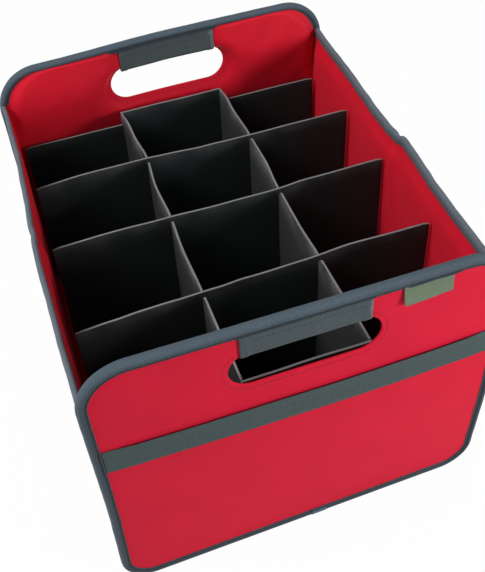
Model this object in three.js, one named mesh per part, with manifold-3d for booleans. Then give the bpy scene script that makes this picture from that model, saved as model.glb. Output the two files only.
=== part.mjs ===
// A folding box for a car boot: two stiff end panels with hand holes, one strip of cloth that makes
// the sides and the base, boards inside the cloth, bound edges, and a loose divider for twelve bottles.
// Millimetres. +X is the right of the front end, +Y runs to the back end, +Z is up, and the origin is
// under the middle of the box, on the surface that it stands on.
import * as THREE from "three";
import { mergeVertices } from "three/addons/utils/BufferGeometryUtils.js";
import Module from "manifold-3d";

const wasm = await Module();
wasm.setup();

// The box as a whole.
const boxWidth = 320; // over the bindings of the end panels
const boxHeight = 275; // to the top of the end panels
const boxLength = 374; // over the bindings of both ends
const topCornerRadius = 40;
const bottomCornerRadius = 29;
const sideWallHeight = 243.5; // to the top of the side bindings
const sideInset = 3; // the side cloth lies this far inside the end bindings
const cornerSteps = 8; // straight steps in a quarter turn
const cutPast = 1; // how far a cutter runs past what it cuts
const mergeDistance = 1e-4; // points closer than this are one

// Layers of the walls.
const clothThickness = 0.8;
const liningThickness = 0.6;
const endBoardThickness = 3;
const sideBoardThickness = 2.5;
const layerGap = 0.3; // between any two layers that lie on each other
const boardMargin = 5; // from the edge of the cloth to the edge of its board
const creaseWidth = 6; // between the front and rear boards, where the box folds

// Binding tape round each end panel.
const tapeThickness = 1.7; // over the edge of the panel
const rollWidth = 6; // the full, rounded part at the edge
const rollProud = 1; // its thickness on each face of the panel
const rollRounding = 2.5;
const rollSteps = 3;
const flangeWidth = 3; // the flat, stitched part
const flangeThickness = 0.6;

// Binding tape on the top of each side.
const sideTapeThickness = 1.2;
const sideTapeHeight = 9;
const sideTapeRounding = 2;
const creaseNotchWidth = 5;
const creaseNotchDepth = 0.8;

// Hand holes and the cloth round the grips.
const holeLength = 113;
const holeHeight = 31.5;
const holeBelowTop = 25.5; // from the top of the panel to the top of the hole
const holeBoardMargin = 1.5; // the board stands back from the cloth round the hole
const wrapLength = 95;
const wrapThickness = 1;
const wrapDrop = 4; // how far the wrapped grip hangs into the hole

// Elastic band and the bare label on the front.
const bandHeight = 24.5;
const bandBottom = 162.5;
const bandThickness = 1;
const labelWidth = 37.5;
const labelHeight = 15.5;
const labelThickness = 1;
const labelFromSide = 49; // from the right edge of the panel to the label

// Loose divider: five cross panels, and two long panels that slot into the middle three.
const dividerThickness = 2.5;
const dividerHeight = 207;
const dividerSideClearance = 5;
const dividerEndClearance = 4.45;
const middleColumn = 97; // between the two long panels
const rowCount = 4;
const slotClearance = 0.4;
const endMiddleDrop = 5; // how far the two end cross panels stand below the others
const endSideDrop = 19;

// Sizes that follow from those.
const faceY = boxLength / 2 - rollProud - layerGap; // the outer cloth of an end panel
const endBoardStart = clothThickness + layerGap;
const endLiningStart = endBoardStart + endBoardThickness + layerGap;
const endDepth = endLiningStart + liningThickness;
const clothInset = tapeThickness + layerGap;
const flangeInset = rollWidth + flangeWidth; // where the red cloth starts
const innerEndY = faceY - endDepth;
const bodyHalfLength = innerEndY - layerGap;
const sideOuterX = boxWidth / 2 - sideInset;
const sideDepth = clothThickness + sideBoardThickness + liningThickness + 2 * layerGap;
const bodyRadius = bottomCornerRadius - sideInset;
const sideClothTop = sideWallHeight - sideTapeThickness - layerGap;
const holeTop = boxHeight - holeBelowTop;
const holeMiddle = holeTop - holeHeight / 2;
const tapeLowerEdge = boxHeight - flangeInset;

const finishes = {
  redCloth: { color: 0xc8203a, roughness: 0.75, metalness: 0 },
  redLining: { color: 0xb01c30, roughness: 0.7, metalness: 0 },
  tape: { color: 0x5d6d78, roughness: 0.8, metalness: 0 },
  webbing: { color: 0x4a5a5a, roughness: 0.8, metalness: 0 },
  label: { color: 0x6c7f78, roughness: 0.7, metalness: 0 },
  board: { color: 0x8a7a62, roughness: 0.9, metalness: 0 },
  divider: { color: 0x161617, roughness: 0.6, metalness: 0 },
};

// A closed geometry as a solid that can be joined and cut.
function solidOf(geometry) {
  const bare = geometry.clone();
  bare.deleteAttribute("normal");
  bare.deleteAttribute("uv");
  const merged = mergeVertices(bare, mergeDistance);
  return new wasm.Manifold(
    new wasm.Mesh({
      numProp: 3,
      vertProperties: merged.attributes.position.array,
      triVerts: new Uint32Array(merged.index.array),
    }),
  );
}

// A solid as a geometry again.
function geometryOf(solid) {
  const mesh = solid.getMesh();
  const indexed = new THREE.BufferGeometry();
  indexed.setAttribute("position", new THREE.BufferAttribute(mesh.vertProperties, 3));
  indexed.setIndex(new THREE.BufferAttribute(mesh.triVerts, 1));
  const geometry = indexed.toNonIndexed();
  geometry.computeVertexNormals();
  return geometry;
}

function namedMesh(name, shape, finish) {
  const geometry = shape.isBufferGeometry ? shape : geometryOf(shape);
  const mesh = new THREE.Mesh(geometry, new THREE.MeshStandardMaterial(finish));
  mesh.name = name;
  return mesh;
}

// A plate whose outline is drawn in X and Z, from one Y to another. A bevel rounds both its faces.
function plate(outline, fromY, toY, bevel = 0) {
  const geometry = new THREE.ExtrudeGeometry(outline, {
    depth: toY - fromY - 2 * bevel,
    bevelEnabled: bevel > 0,
    bevelThickness: bevel,
    bevelSize: bevel,
    bevelSegments: rollSteps,
    curveSegments: cornerSteps,
  });
  geometry.rotateX(Math.PI / 2);
  geometry.translate(0, toY - bevel, 0);
  return geometry;
}

function block(fromX, toX, fromY, toY, fromZ, toZ) {
  const geometry = new THREE.BoxGeometry(toX - fromX, toY - fromY, toZ - fromZ);
  geometry.translate((fromX + toX) / 2, (fromY + toY) / 2, (fromZ + toZ) / 2);
  return geometry;
}

// An upright rounded rectangle, centred on X = 0.
function roundedOutline(halfWidth, bottom, top, bottomRadius, topRadius) {
  const outline = new THREE.Shape();
  const low = bottom + bottomRadius;
  const high = top - topRadius;
  outline.moveTo(-halfWidth + bottomRadius, bottom);
  outline.lineTo(halfWidth - bottomRadius, bottom);
  outline.absarc(halfWidth - bottomRadius, low, bottomRadius, -Math.PI / 2, 0, false);
  outline.lineTo(halfWidth, high);
  outline.absarc(halfWidth - topRadius, high, topRadius, 0, Math.PI / 2, false);
  outline.lineTo(-halfWidth + topRadius, top);
  outline.absarc(-halfWidth + topRadius, high, topRadius, Math.PI / 2, Math.PI, false);
  outline.lineTo(-halfWidth, low);
  outline.absarc(-halfWidth + bottomRadius, low, bottomRadius, Math.PI, 1.5 * Math.PI, false);
  return outline;
}

// The outline of an end panel, drawn in by an inset.
function endOutline(inset) {
  return roundedOutline(
    boxWidth / 2 - inset,
    inset,
    boxHeight - inset,
    bottomCornerRadius - inset,
    topCornerRadius - inset,
  );
}

function endRing(outerInset, innerInset) {
  const ring = endOutline(outerInset);
  ring.holes.push(endOutline(innerInset));
  return ring;
}

// The hand hole: straight above and below, round at both ends.
function holeOutline(margin) {
  const radius = holeHeight / 2 + margin;
  const halfStraight = holeLength / 2 - holeHeight / 2;
  const outline = new THREE.Shape();
  outline.moveTo(-halfStraight, holeMiddle - radius);
  outline.lineTo(halfStraight, holeMiddle - radius);
  outline.absarc(halfStraight, holeMiddle, radius, -Math.PI / 2, Math.PI / 2, false);
  outline.lineTo(-halfStraight, holeMiddle + radius);
  outline.absarc(-halfStraight, holeMiddle, radius, Math.PI / 2, 1.5 * Math.PI, false);
  return outline;
}

// The outline of the sides and base, seen from the front, drawn in by an inset. It is square at the top.
function bodyOutline(inset, top) {
  const outline = new THREE.Shape();
  const half = sideOuterX - inset;
  const radius = bodyRadius - inset;
  const centreX = sideOuterX - bodyRadius;
  outline.moveTo(-half, top);
  outline.lineTo(-half, bodyRadius);
  outline.absarc(-centreX, bodyRadius, radius, Math.PI, 1.5 * Math.PI, false);
  outline.lineTo(centreX, inset);
  outline.absarc(centreX, bodyRadius, radius, -Math.PI / 2, 0, false);
  outline.lineTo(half, top);
  return outline;
}

// One end panel, with its outer cloth at Y = 0 and the inside of the box towards +Y.
function endPanel(side) {
  const group = new THREE.Group();
  const outerCloth = endOutline(clothInset);
  outerCloth.holes.push(holeOutline(0));
  const board = endOutline(clothInset + boardMargin);
  board.holes.push(holeOutline(holeBoardMargin));
  const boardEnd = endBoardStart + endBoardThickness;
  group.add(
    namedMesh(`${side}_outer_cloth`, plate(outerCloth, 0, clothThickness), finishes.redCloth),
    namedMesh(`${side}_board`, plate(board, endBoardStart, boardEnd), finishes.board),
    namedMesh(`${side}_lining`, plate(outerCloth, endLiningStart, endDepth), finishes.redLining),
    namedMesh(`${side}_binding`, endBinding(), finishes.tape),
    namedMesh(`${side}_grip_wrap`, gripWrap(), finishes.webbing),
  );
  return group;
}

// The tape round the edge: a rounded roll, a flat flange on each face, and a slot for the layers.
// Where the sides and base meet the panel, the tape makes way for them.
function endBinding() {
  const ring = endRing(rollRounding, rollWidth - rollRounding);
  const reach = rollProud + layerGap;
  const roll = solidOf(plate(ring, -reach, endDepth + reach, rollRounding));
  const flangeReach = flangeThickness + layerGap;
  const flangeRing = endRing(rollWidth - rollRounding, flangeInset);
  const flanges = solidOf(plate(flangeRing, -flangeReach, endDepth + flangeReach));
  const layers = solidOf(plate(endOutline(tapeThickness), -layerGap, endDepth + layerGap));
  const inside = endDepth + reach + rollWidth;
  const body = bodyOutline(-layerGap, sideWallHeight + layerGap);
  const bodyWay = solidOf(plate(body, endDepth, inside));
  const tapeHalf = sideOuterX + 2 * layerGap + sideTapeThickness;
  const tapeBottom = sideWallHeight - sideTapeHeight - layerGap;
  const sideTop = sideWallHeight + layerGap;
  const tapeWay = solidOf(block(-tapeHalf, tapeHalf, endDepth, inside, tapeBottom, sideTop));
  return roll.add(flanges).subtract(layers).subtract(bodyWay).subtract(tapeWay);
}

// The cloth folded round the grip, from the flange outside, under the grip, to the flange inside.
function gripWrap() {
  const half = wrapLength / 2;
  const reach = wrapThickness + layerGap;
  const top = tapeLowerEdge - layerGap;
  const bottom = holeTop - wrapDrop;
  const whole = solidOf(block(-half, half, -reach, endDepth + reach, bottom, top));
  const grip = block(
    -half - cutPast,
    half + cutPast,
    -layerGap,
    endDepth + layerGap,
    bottom + wrapThickness,
    top + cutPast,
  );
  return whole.subtract(solidOf(grip));
}

// The elastic band and the label lie on the outer cloth of the front panel.
function frontTrim() {
  const group = new THREE.Group();
  const half = boxWidth / 2 - flangeInset - layerGap;
  const bandTop = bandBottom + bandHeight;
  const band = block(-half, half, -layerGap - bandThickness, -layerGap, bandBottom, bandTop);
  const labelTop = tapeLowerEdge - layerGap;
  const labelEnd = boxWidth / 2 - labelFromSide;
  const label = block(
    labelEnd - labelWidth,
    labelEnd,
    -layerGap - labelThickness,
    -layerGap,
    labelTop - labelHeight,
    labelTop,
  );
  group.add(
    namedMesh("front_elastic_band", band, finishes.webbing),
    namedMesh("front_label", label, finishes.label),
  );
  return group;
}

// A layer of the sides and base: one sheet that runs down one side, under the box and up the other.
function bodyLayer(inset, thickness) {
  const outer = solidOf(plate(bodyOutline(inset, sideClothTop), -bodyHalfLength, bodyHalfLength));
  const innerOutline = bodyOutline(inset + thickness, sideClothTop + cutPast);
  const innerHalf = bodyHalfLength + cutPast;
  const inner = solidOf(plate(innerOutline, -innerHalf, innerHalf));
  return outer.subtract(inner);
}

// The tape on the top of a side: rounded on top, with a slot for the layers and a dip at the crease.
function sideTape() {
  const half = sideDepth / 2 + layerGap + sideTapeThickness;
  const bottom = sideWallHeight - sideTapeHeight;
  const outline = roundedOutline(half, bottom, sideWallHeight, 0, sideTapeRounding);
  const tape = solidOf(plate(outline, -bodyHalfLength, bodyHalfLength));
  const slotHalf = sideDepth / 2 + layerGap;
  const slotTop = sideWallHeight - sideTapeThickness;
  const slotLength = bodyHalfLength + cutPast;
  const slot = block(-slotHalf, slotHalf, -slotLength, slotLength, bottom - cutPast, slotTop);
  const dip = new THREE.Shape();
  dip.moveTo(0, sideWallHeight - creaseNotchDepth);
  dip.lineTo(creaseNotchWidth / 2, sideWallHeight);
  dip.lineTo(creaseNotchWidth / 2, sideWallHeight + cutPast);
  dip.lineTo(-creaseNotchWidth / 2, sideWallHeight + cutPast);
  dip.lineTo(-creaseNotchWidth / 2, sideWallHeight);
  const across = plate(dip, -half - cutPast, half + cutPast);
  across.rotateZ(Math.PI / 2);
  return tape.subtract(solidOf(slot)).subtract(solidOf(across));
}

// The boards of one half of the box: one in each side and one in the base.
function bodyBoards(half, sign) {
  const group = new THREE.Group();
  const near = creaseWidth / 2;
  const far = bodyHalfLength - boardMargin;
  const fromY = sign > 0 ? near : -far;
  const toY = sign > 0 ? far : -near;
  const outer = sideOuterX - clothThickness - layerGap;
  const inner = outer - sideBoardThickness;
  const sideTop = sideClothTop - boardMargin;
  const baseBottom = clothThickness + layerGap;
  const baseHalf = sideOuterX - bodyRadius;
  const left = block(-outer, -inner, fromY, toY, bodyRadius, sideTop);
  const right = block(inner, outer, fromY, toY, bodyRadius, sideTop);
  const base = block(-baseHalf, baseHalf, fromY, toY, baseBottom, baseBottom + sideBoardThickness);
  group.add(
    namedMesh(`left_board_${half}`, left, finishes.board),
    namedMesh(`right_board_${half}`, right, finishes.board),
    namedMesh(`base_board_${half}`, base, finishes.board),
  );
  return group;
}

function body() {
  const group = new THREE.Group();
  const liningInset = clothThickness + sideBoardThickness + 2 * layerGap;
  group.add(
    namedMesh("body_outer_cloth", bodyLayer(0, clothThickness), finishes.redCloth),
    namedMesh("body_lining", bodyLayer(liningInset, liningThickness), finishes.redLining),
    bodyBoards("front", -1),
    bodyBoards("rear", 1),
  );
  for (const [side, sign] of [["left", -1], ["right", 1]]) {
    const tape = namedMesh(`${side}_top_binding`, sideTape(), finishes.tape);
    tape.position.x = sign * (sideOuterX - sideDepth / 2);
    group.add(tape);
  }
  return group;
}

// A divider panel seen from its side: round lower corners, and slots from above or below.
function dividerOutline(half, radius, steps, slots, slotsFromTop) {
  const slotHalf = dividerThickness / 2 + slotClearance;
  const slotEnd = dividerHeight / 2 + (slotsFromTop ? -layerGap : layerGap);
  const outline = new THREE.Shape();
  outline.moveTo(-half + radius, 0);
  for (const at of slotsFromTop ? [] : slots) {
    outline.lineTo(at - slotHalf, 0);
    outline.lineTo(at - slotHalf, slotEnd);
    outline.lineTo(at + slotHalf, slotEnd);
    outline.lineTo(at + slotHalf, 0);
  }
  outline.lineTo(half - radius, 0);
  if (radius > 0) outline.absarc(half - radius, radius, radius, -Math.PI / 2, 0, false);
  for (const [x, z] of steps) outline.lineTo(x, z);
  for (const at of slotsFromTop ? [...slots].reverse() : []) {
    outline.lineTo(at + slotHalf, dividerHeight);
    outline.lineTo(at + slotHalf, slotEnd);
    outline.lineTo(at - slotHalf, slotEnd);
    outline.lineTo(at - slotHalf, dividerHeight);
  }
  for (const [x, z] of [...steps].reverse()) outline.lineTo(-x, z);
  if (radius > 0) outline.absarc(-half + radius, radius, radius, Math.PI, 1.5 * Math.PI, false);
  return outline;
}

// The divider stands on the lining of the base.
function divider() {
  const group = new THREE.Group();
  group.position.z = sideDepth + layerGap;
  const crossHalf = sideOuterX - sideDepth - dividerSideClearance;
  const crossRadius = bodyRadius - sideDepth - dividerSideClearance;
  const endCross = innerEndY - dividerEndClearance - dividerThickness / 2;
  const rowPitch = (2 * endCross) / rowCount;
  const columnX = middleColumn / 2;
  const thickness = dividerThickness / 2;
  const level = [[crossHalf, dividerHeight]];
  const stepped = [
    [crossHalf, dividerHeight - endSideDrop],
    [columnX + thickness, dividerHeight - endSideDrop],
    [columnX + thickness, dividerHeight - endMiddleDrop],
  ];
  for (let row = 0; row <= rowCount; row += 1) {
    const isEnd = row === 0 || row === rowCount;
    const steps = isEnd ? stepped : level;
    const slots = isEnd ? [] : [-columnX, columnX];
    const outline = dividerOutline(crossHalf, crossRadius, steps, slots, false);
    const sheet = plate(outline, -thickness, thickness);
    const panel = namedMesh(`divider_cross_${row + 1}`, sheet, finishes.divider);
    panel.position.y = -endCross + row * rowPitch;
    group.add(panel);
  }
  const longHalf = endCross - thickness - layerGap;
  const crossings = Array.from({ length: rowCount - 1 }, (unused, row) => (row + 1) * rowPitch - endCross);
  for (const [side, sign] of [["left", -1], ["right", 1]]) {
    const outline = dividerOutline(longHalf, 0, [[longHalf, dividerHeight]], crossings, true);
    const panel = namedMesh(`divider_long_${side}`, plate(outline, -thickness, thickness), finishes.divider);
    panel.rotation.z = Math.PI / 2;
    panel.position.x = sign * columnX;
    group.add(panel);
  }
  return group;
}

const organizer = new THREE.Group();
const front = endPanel("front");
front.add(frontTrim());
front.position.y = -faceY;
const back = endPanel("back");
back.rotation.z = Math.PI;
back.position.y = faceY;
organizer.add(front, back, body(), divider());

export default organizer;
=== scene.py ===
"""A folding cloth box for a car trunk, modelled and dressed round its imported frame.

Metres. +X is the right of the front end, +Y runs to the back end and +Z is up. Soft pieces are
sheets whose points are moved to where the cloth lies, then given their thickness.
"""
import logging
import math
from collections.abc import Callable, Sequence
from dataclasses import dataclass
from enum import Enum

import bpy
import bmesh
from mathutils import Matrix, Vector, noise


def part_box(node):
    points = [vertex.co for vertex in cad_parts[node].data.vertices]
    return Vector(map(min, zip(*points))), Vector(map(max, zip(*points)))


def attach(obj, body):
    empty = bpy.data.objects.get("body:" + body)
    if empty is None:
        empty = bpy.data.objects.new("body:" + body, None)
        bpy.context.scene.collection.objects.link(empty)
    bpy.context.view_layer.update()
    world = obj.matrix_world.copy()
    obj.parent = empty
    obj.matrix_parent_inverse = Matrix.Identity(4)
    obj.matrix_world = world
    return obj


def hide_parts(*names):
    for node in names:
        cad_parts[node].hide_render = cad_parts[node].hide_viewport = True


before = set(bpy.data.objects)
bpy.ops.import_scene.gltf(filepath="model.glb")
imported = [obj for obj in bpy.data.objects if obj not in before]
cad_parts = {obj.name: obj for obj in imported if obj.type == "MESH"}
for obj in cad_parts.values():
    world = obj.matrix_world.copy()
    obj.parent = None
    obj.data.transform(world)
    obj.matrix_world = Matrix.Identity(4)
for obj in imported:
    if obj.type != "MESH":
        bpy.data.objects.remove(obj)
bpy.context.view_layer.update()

MM = 0.001
HAIR = 0.001 * MM
LEAN_FRONT = 1.5 * MM
LEAN_REAR = 4.0 * MM
LEAN_HEIGHT = 275 * MM
LEAN_LENGTH = 374 * MM
FOOT_HEIGHT = 130 * MM
FOOT_SPREAD = 3.0 * MM
FOOT_TUCK = 4.3 * MM
log = logging.getLogger("organizer")

Point = tuple[float, float, float]
Place = Callable[[float, float], Point]
Colour = tuple[float, float, float]
Curve = tuple[tuple[float, float], ...]
Socket = bpy.types.NodeSocket


class End(Enum):
    """The two stiff ends of the box."""

    FRONT = "front"
    BACK = "back"

    def named(self, part: str) -> str:
        """Returns the full name of a part of this end."""
        return f"{self.value}_{part}"


class Wall(Enum):
    """The two side walls, with the direction along X that is outwards."""

    LEFT = -1
    RIGHT = 1

    def named(self, part: str) -> str:
        """Returns the full name of a part of this wall."""
        return f"{self.name.lower()}_{part}"


class Face(Enum):
    """The two faces of a wall."""

    OUTER = "outer"
    INNER = "inner"


class Slot(Enum):
    """The record's material slots."""

    CLOTH = "red_cloth"
    LINING = "red_lining"
    TAPE = "binding_tape"
    WEBBING = "grey_webbing"
    LABEL = "label_cloth"
    BOARD = "board"
    DIVIDER = "divider_board"


def eased(share: float) -> float:
    """Returns a share from 0 to 1 that starts and ends gently."""
    share = min(max(share, 0.0), 1.0)
    return share * share * (3.0 - 2.0 * share)


def mixed(first: float, second: float, share: float) -> float:
    """Returns the value that lies a share of the way from one to another."""
    return first + (second - first) * share


def hump(distance: float, width: float) -> float:
    """Returns 1 at no distance, falling smoothly to 0 well past the width."""
    return math.exp(-((distance / width) ** 2))


def curve_through(points: Sequence[tuple[float, float]], at: float) -> float:
    """Reads a smooth curve that passes through given points.

    Args:
        points: pairs of place and value, with rising places.
        at: the place to read.

    Returns:
        The value there, or the nearest end value outside the points.
    """
    if at <= points[0][0]:
        return points[0][1]
    for before, after in zip(points, points[1:]):
        if at <= after[0]:
            share = (at - before[0]) / (after[0] - before[0])
            return mixed(before[1], after[1], eased(share))
    return points[-1][1]


def waver(x: float, y: float, size: float, seed: float) -> float:
    """Returns gentle, repeatable unevenness from about -1 to 1, with waves of a size."""
    return noise.noise(Vector((x / size, y / size, seed)))


def lean(point: Sequence[float]) -> Vector:
    """Leans a point of the box a little to the right and spreads its foot, as the soft box stands.

    Args:
        point: where it would be in a box that stands quite straight.

    Returns:
        Where it is.
    """
    x, y, z = point
    rear = min(max(y / LEAN_LENGTH + 0.5, 0.0), 1.0)
    low = 1.0 - eased(z / FOOT_HEIGHT)
    right = min(max(x / LEAN_LENGTH + 0.5, 0.0), 1.0)
    x += mixed(LEAN_FRONT, LEAN_REAR, rear) * z / LEAN_HEIGHT
    x -= FOOT_SPREAD * low * (1.0 - right)
    y += mixed(-FOOT_SPREAD, FOOT_TUCK, right) * low * (1.0 - rear)
    return Vector((x, y, z))


@dataclass(frozen=True)
class Route:
    """A flat path of straight and round runs, which turns left round its inside.

    Attributes:
        start: where it starts.
        heading: the angle it sets out at, in radians.
        runs: length and turning radius of each run, with radius 0 for a straight one.
    """

    start: tuple[float, float]
    heading: float
    runs: tuple[tuple[float, float], ...]

    @property
    def length(self) -> float:
        """The length of the whole path."""
        return sum(run[0] for run in self.runs)

    def at(self, share: float, inset: float = 0.0) -> tuple[float, float]:
        """Finds a point of the path.

        Args:
            share: how far along the path, from 0 to 1.
            inset: how far inwards from the path.

        Returns:
            The two coordinates of the point.
        """
        left = min(max(share, 0.0), 1.0) * self.length
        (x, y), angle = self.start, self.heading
        for length, radius in self.runs:
            step = min(left, length)
            if radius:
                centre = (x - radius * math.sin(angle), y + radius * math.cos(angle))
                angle += step / radius
                x = centre[0] + radius * math.sin(angle)
                y = centre[1] - radius * math.cos(angle)
            else:
                x += step * math.cos(angle)
                y += step * math.sin(angle)
            left -= step
            if left <= 0.0:
                break
        return x - inset * math.sin(angle), y + inset * math.cos(angle)


def pick(piece: bpy.types.Object) -> None:
    """Selects one piece and nothing else.

    Args:
        piece: the piece.
    """
    bpy.ops.object.select_all(action="DESELECT")
    piece.select_set(True)
    bpy.context.view_layer.objects.active = piece


def shape_sheet(
    name: str, cuts: tuple[int, int], place: Place, flat: tuple[float, float] | None
) -> bpy.types.Object:
    """Makes a sheet from a grid whose points are moved to where they lie, and sews edges that meet.

    Args:
        name: the piece's name.
        cuts: how many faces there are across and along.
        place: gives a point for the shares across and along.
        flat: the sheet's flat size for its UV map, or None to lay the map out in X and Z.

    Returns:
        The new piece.
    """
    bpy.ops.object.select_all(action="DESELECT")
    bpy.ops.mesh.primitive_grid_add(x_subdivisions=cuts[0], y_subdivisions=cuts[1], size=1.0)
    piece = bpy.context.object
    piece.name = name
    piece.data.name = name
    for vertex in piece.data.vertices:
        vertex.co = lean(place(vertex.co.x + 0.5, vertex.co.y + 0.5))
    points = piece.data.vertices
    corners = piece.data.uv_layers.active.data
    for corner, loop in zip(corners, piece.data.loops):
        if flat is None:
            point = points[loop.vertex_index].co
            corner.uv = (point.x, point.z)
        else:
            corner.uv = (corner.uv[0] * flat[0], corner.uv[1] * flat[1])
    bpy.ops.object.mode_set(mode="EDIT")
    bpy.ops.mesh.select_all(action="SELECT")
    bpy.ops.mesh.remove_doubles(threshold=2 * HAIR)
    bpy.ops.object.mode_set(mode="OBJECT")
    bpy.ops.object.shade_smooth()
    return piece


def thicken(
    piece: bpy.types.Object, thickness: float, offset: float = -1.0, rim: int = 0, even: bool = True
) -> None:
    """Gives a sheet its thickness.

    Args:
        piece: the sheet.
        thickness: the wall in metres.
        offset: -1 to grow it behind the sheet's face, 0 to both sides.
        rim: how many material slots further on the rim's finish is.
        even: whether it stays as thick round bends.
    """
    pick(piece)
    wall = piece.modifiers.new("wall", "SOLIDIFY")
    wall.thickness = thickness
    wall.offset = offset
    wall.use_even_offset = even
    wall.material_offset_rim = rim
    bpy.ops.object.modifier_apply(modifier=wall.name)


def round_edges(piece: bpy.types.Object, width: float, segments: int = 2) -> None:
    """Rounds the sharp edges of a piece.

    Args:
        piece: the piece.
        width: how far the rounding reaches.
        segments: the faces across it.
    """
    pick(piece)
    bevel = piece.modifiers.new("rounding", "BEVEL")
    bevel.width = width
    bevel.segments = segments
    bevel.limit_method = "ANGLE"
    bevel.angle_limit = math.radians(50)
    bpy.ops.object.modifier_apply(modifier=bevel.name)
    bpy.ops.object.shade_smooth_by_angle(angle=math.radians(50))


class Recipe:
    """One procedural material, put together node by node."""

    def __init__(self, name: str) -> None:
        """Starts a material with a bare shader.

        Args:
            name: the material's name.
        """
        self.material = bpy.data.materials.new(name)
        self.material.use_nodes = True
        self.tree = self.material.node_tree
        self.shader = self.tree.nodes["Principled BSDF"]

    def connect(self, socket: Socket, value: Socket | float | Sequence[float]) -> None:
        """Links a socket to another, or sets its value.

        Args:
            socket: the socket that is fed.
            value: another socket or a plain value.
        """
        if isinstance(value, bpy.types.NodeSocket):
            self.tree.links.new(value, socket)
        else:
            socket.default_value = value

    def math(self, operation: str, *values: Socket | float) -> Socket:
        """Adds a sum.

        Args:
            operation: the kind of sum.
            values: the one or two values that go into it.

        Returns:
            Its result.
        """
        node = self.tree.nodes.new("ShaderNodeMath")
        node.operation = operation
        for socket, value in zip(node.inputs, values):
            self.connect(socket, value)
        return node.outputs[0]

    def total(self, *parts: tuple[Socket, float]) -> Socket:
        """Adds up values by their weights.

        Args:
            parts: pairs of value and weight.

        Returns:
            The total.
        """
        weighed = [self.math("MULTIPLY", value, weight) for value, weight in parts]
        whole = weighed[0]
        for value in weighed[1:]:
            whole = self.math("ADD", whole, value)
        return whole

    def mix(self, share: Socket | float, first: Colour | Socket, second: Colour | Socket) -> Socket:
        """Adds a mix of two colours.

        Args:
            share: how much there is of the second.
            first: the first colour.
            second: the second colour.

        Returns:
            The mixed colour.
        """
        node = self.tree.nodes.new("ShaderNodeMix")
        node.data_type = "RGBA"
        sockets = (node.inputs[0], node.inputs[6], node.inputs[7])
        for socket, value in zip(sockets, (share, first, second)):
            self.connect(socket, (*value, 1.0) if isinstance(value, tuple) else value)
        return node.outputs[2]

    def paint(self, share: Socket, first: Colour | Socket, second: Colour | Socket) -> None:
        """Colours the surface with a mix of two colours."""
        self.connect(self.shader.inputs["Base Color"], self.mix(share, first, second))

    def coordinates(self, kind: str) -> Socket:
        """Returns the UV or Object coordinates."""
        return self.tree.nodes.new("ShaderNodeTexCoord").outputs[kind]

    def split(self, vector: Socket) -> tuple[Socket, Socket, Socket]:
        """Takes a vector apart.

        Args:
            vector: the vector.

        Returns:
            Its three parts.
        """
        node = self.tree.nodes.new("ShaderNodeSeparateXYZ")
        self.connect(node.inputs[0], vector)
        return node.outputs[0], node.outputs[1], node.outputs[2]

    def cloud(self, vector: Socket, size: float, detail: float = 2.0) -> Socket:
        """Adds soft noise.

        Args:
            vector: the coordinates that it reads.
            size: the size of its spots.
            detail: how many finer layers it has.

        Returns:
            Its strength, from 0 to 1.
        """
        node = self.tree.nodes.new("ShaderNodeTexNoise")
        self.connect(node.inputs["Vector"], vector)
        node.inputs["Scale"].default_value = 1.0 / size
        node.inputs["Detail"].default_value = detail
        return node.outputs[0]

    def spread(self, value: Socket, low: float, high: float) -> Socket:
        """Stretches a range of values.

        Args:
            value: the value.
            low: the value that becomes 0.
            high: the value that becomes 1.

        Returns:
            The stretched value.
        """
        node = self.tree.nodes.new("ShaderNodeMapRange")
        self.connect(node.inputs["Value"], value)
        node.inputs["From Min"].default_value = low
        node.inputs["From Max"].default_value = high
        return node.outputs[0]

    def wave(self, value: Socket, pitch: float) -> Socket:
        """Returns threads of a pitch, seen as rounded ridges from 0 to 1."""
        turned = self.math("MULTIPLY", value, math.pi / pitch)
        return self.math("ABSOLUTE", self.math("SINE", turned))

    def bump(self, height: Socket, distance: float, strength: float) -> None:
        """Raises the surface before it is shaded, on top of what is raised already.

        Args:
            height: how much each spot is raised, from 0 to 1.
            distance: how far 1 raises it.
            strength: how much of it shows.
        """
        node = self.tree.nodes.new("ShaderNodeBump")
        node.inputs["Distance"].default_value = distance
        node.inputs["Strength"].default_value = strength
        before = self.shader.inputs["Normal"].links
        if before:
            self.tree.links.new(before[0].from_socket, node.inputs["Normal"])
        self.connect(node.inputs["Height"], height)
        self.connect(self.shader.inputs["Normal"], node.outputs[0])

    def plain_weave(self, pitch: float) -> Socket:
        """Adds threads that go over and under each other.

        Args:
            pitch: the space between threads.

        Returns:
            Their height, from 0 to 1.
        """
        x, y = self.split(self.coordinates("UV"))[:2]
        column = self.math("FLOOR", self.math("DIVIDE", x, pitch))
        row = self.math("FLOOR", self.math("DIVIDE", y, pitch))
        over = self.math("MODULO", self.math("ABSOLUTE", self.math("ADD", column, row)), 2.0)
        warp = self.wave(x, pitch)
        weft = self.wave(y, pitch)
        both = self.math("MULTIPLY", warp, weft)
        top = self.math("ADD", warp, self.math("MULTIPLY", over, self.math("SUBTRACT", weft, warp)))
        return self.total((top, 0.6), (both, 0.4))

    def surface(self, roughness: float, sheen: float, gloss: float, sheen_roughness: float = 0.5) -> None:
        """Sets the shader's plain values.

        Args:
            roughness: how dull the surface is.
            sheen: how much its fibres shine.
            gloss: how strongly it reflects.
            sheen_roughness: how wide the fibres' shine is.
        """
        self.shader.inputs["Roughness"].default_value = roughness
        self.shader.inputs["Sheen Weight"].default_value = sheen
        self.shader.inputs["Sheen Roughness"].default_value = sheen_roughness
        self.shader.inputs["Specular IOR Level"].default_value = gloss


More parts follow.
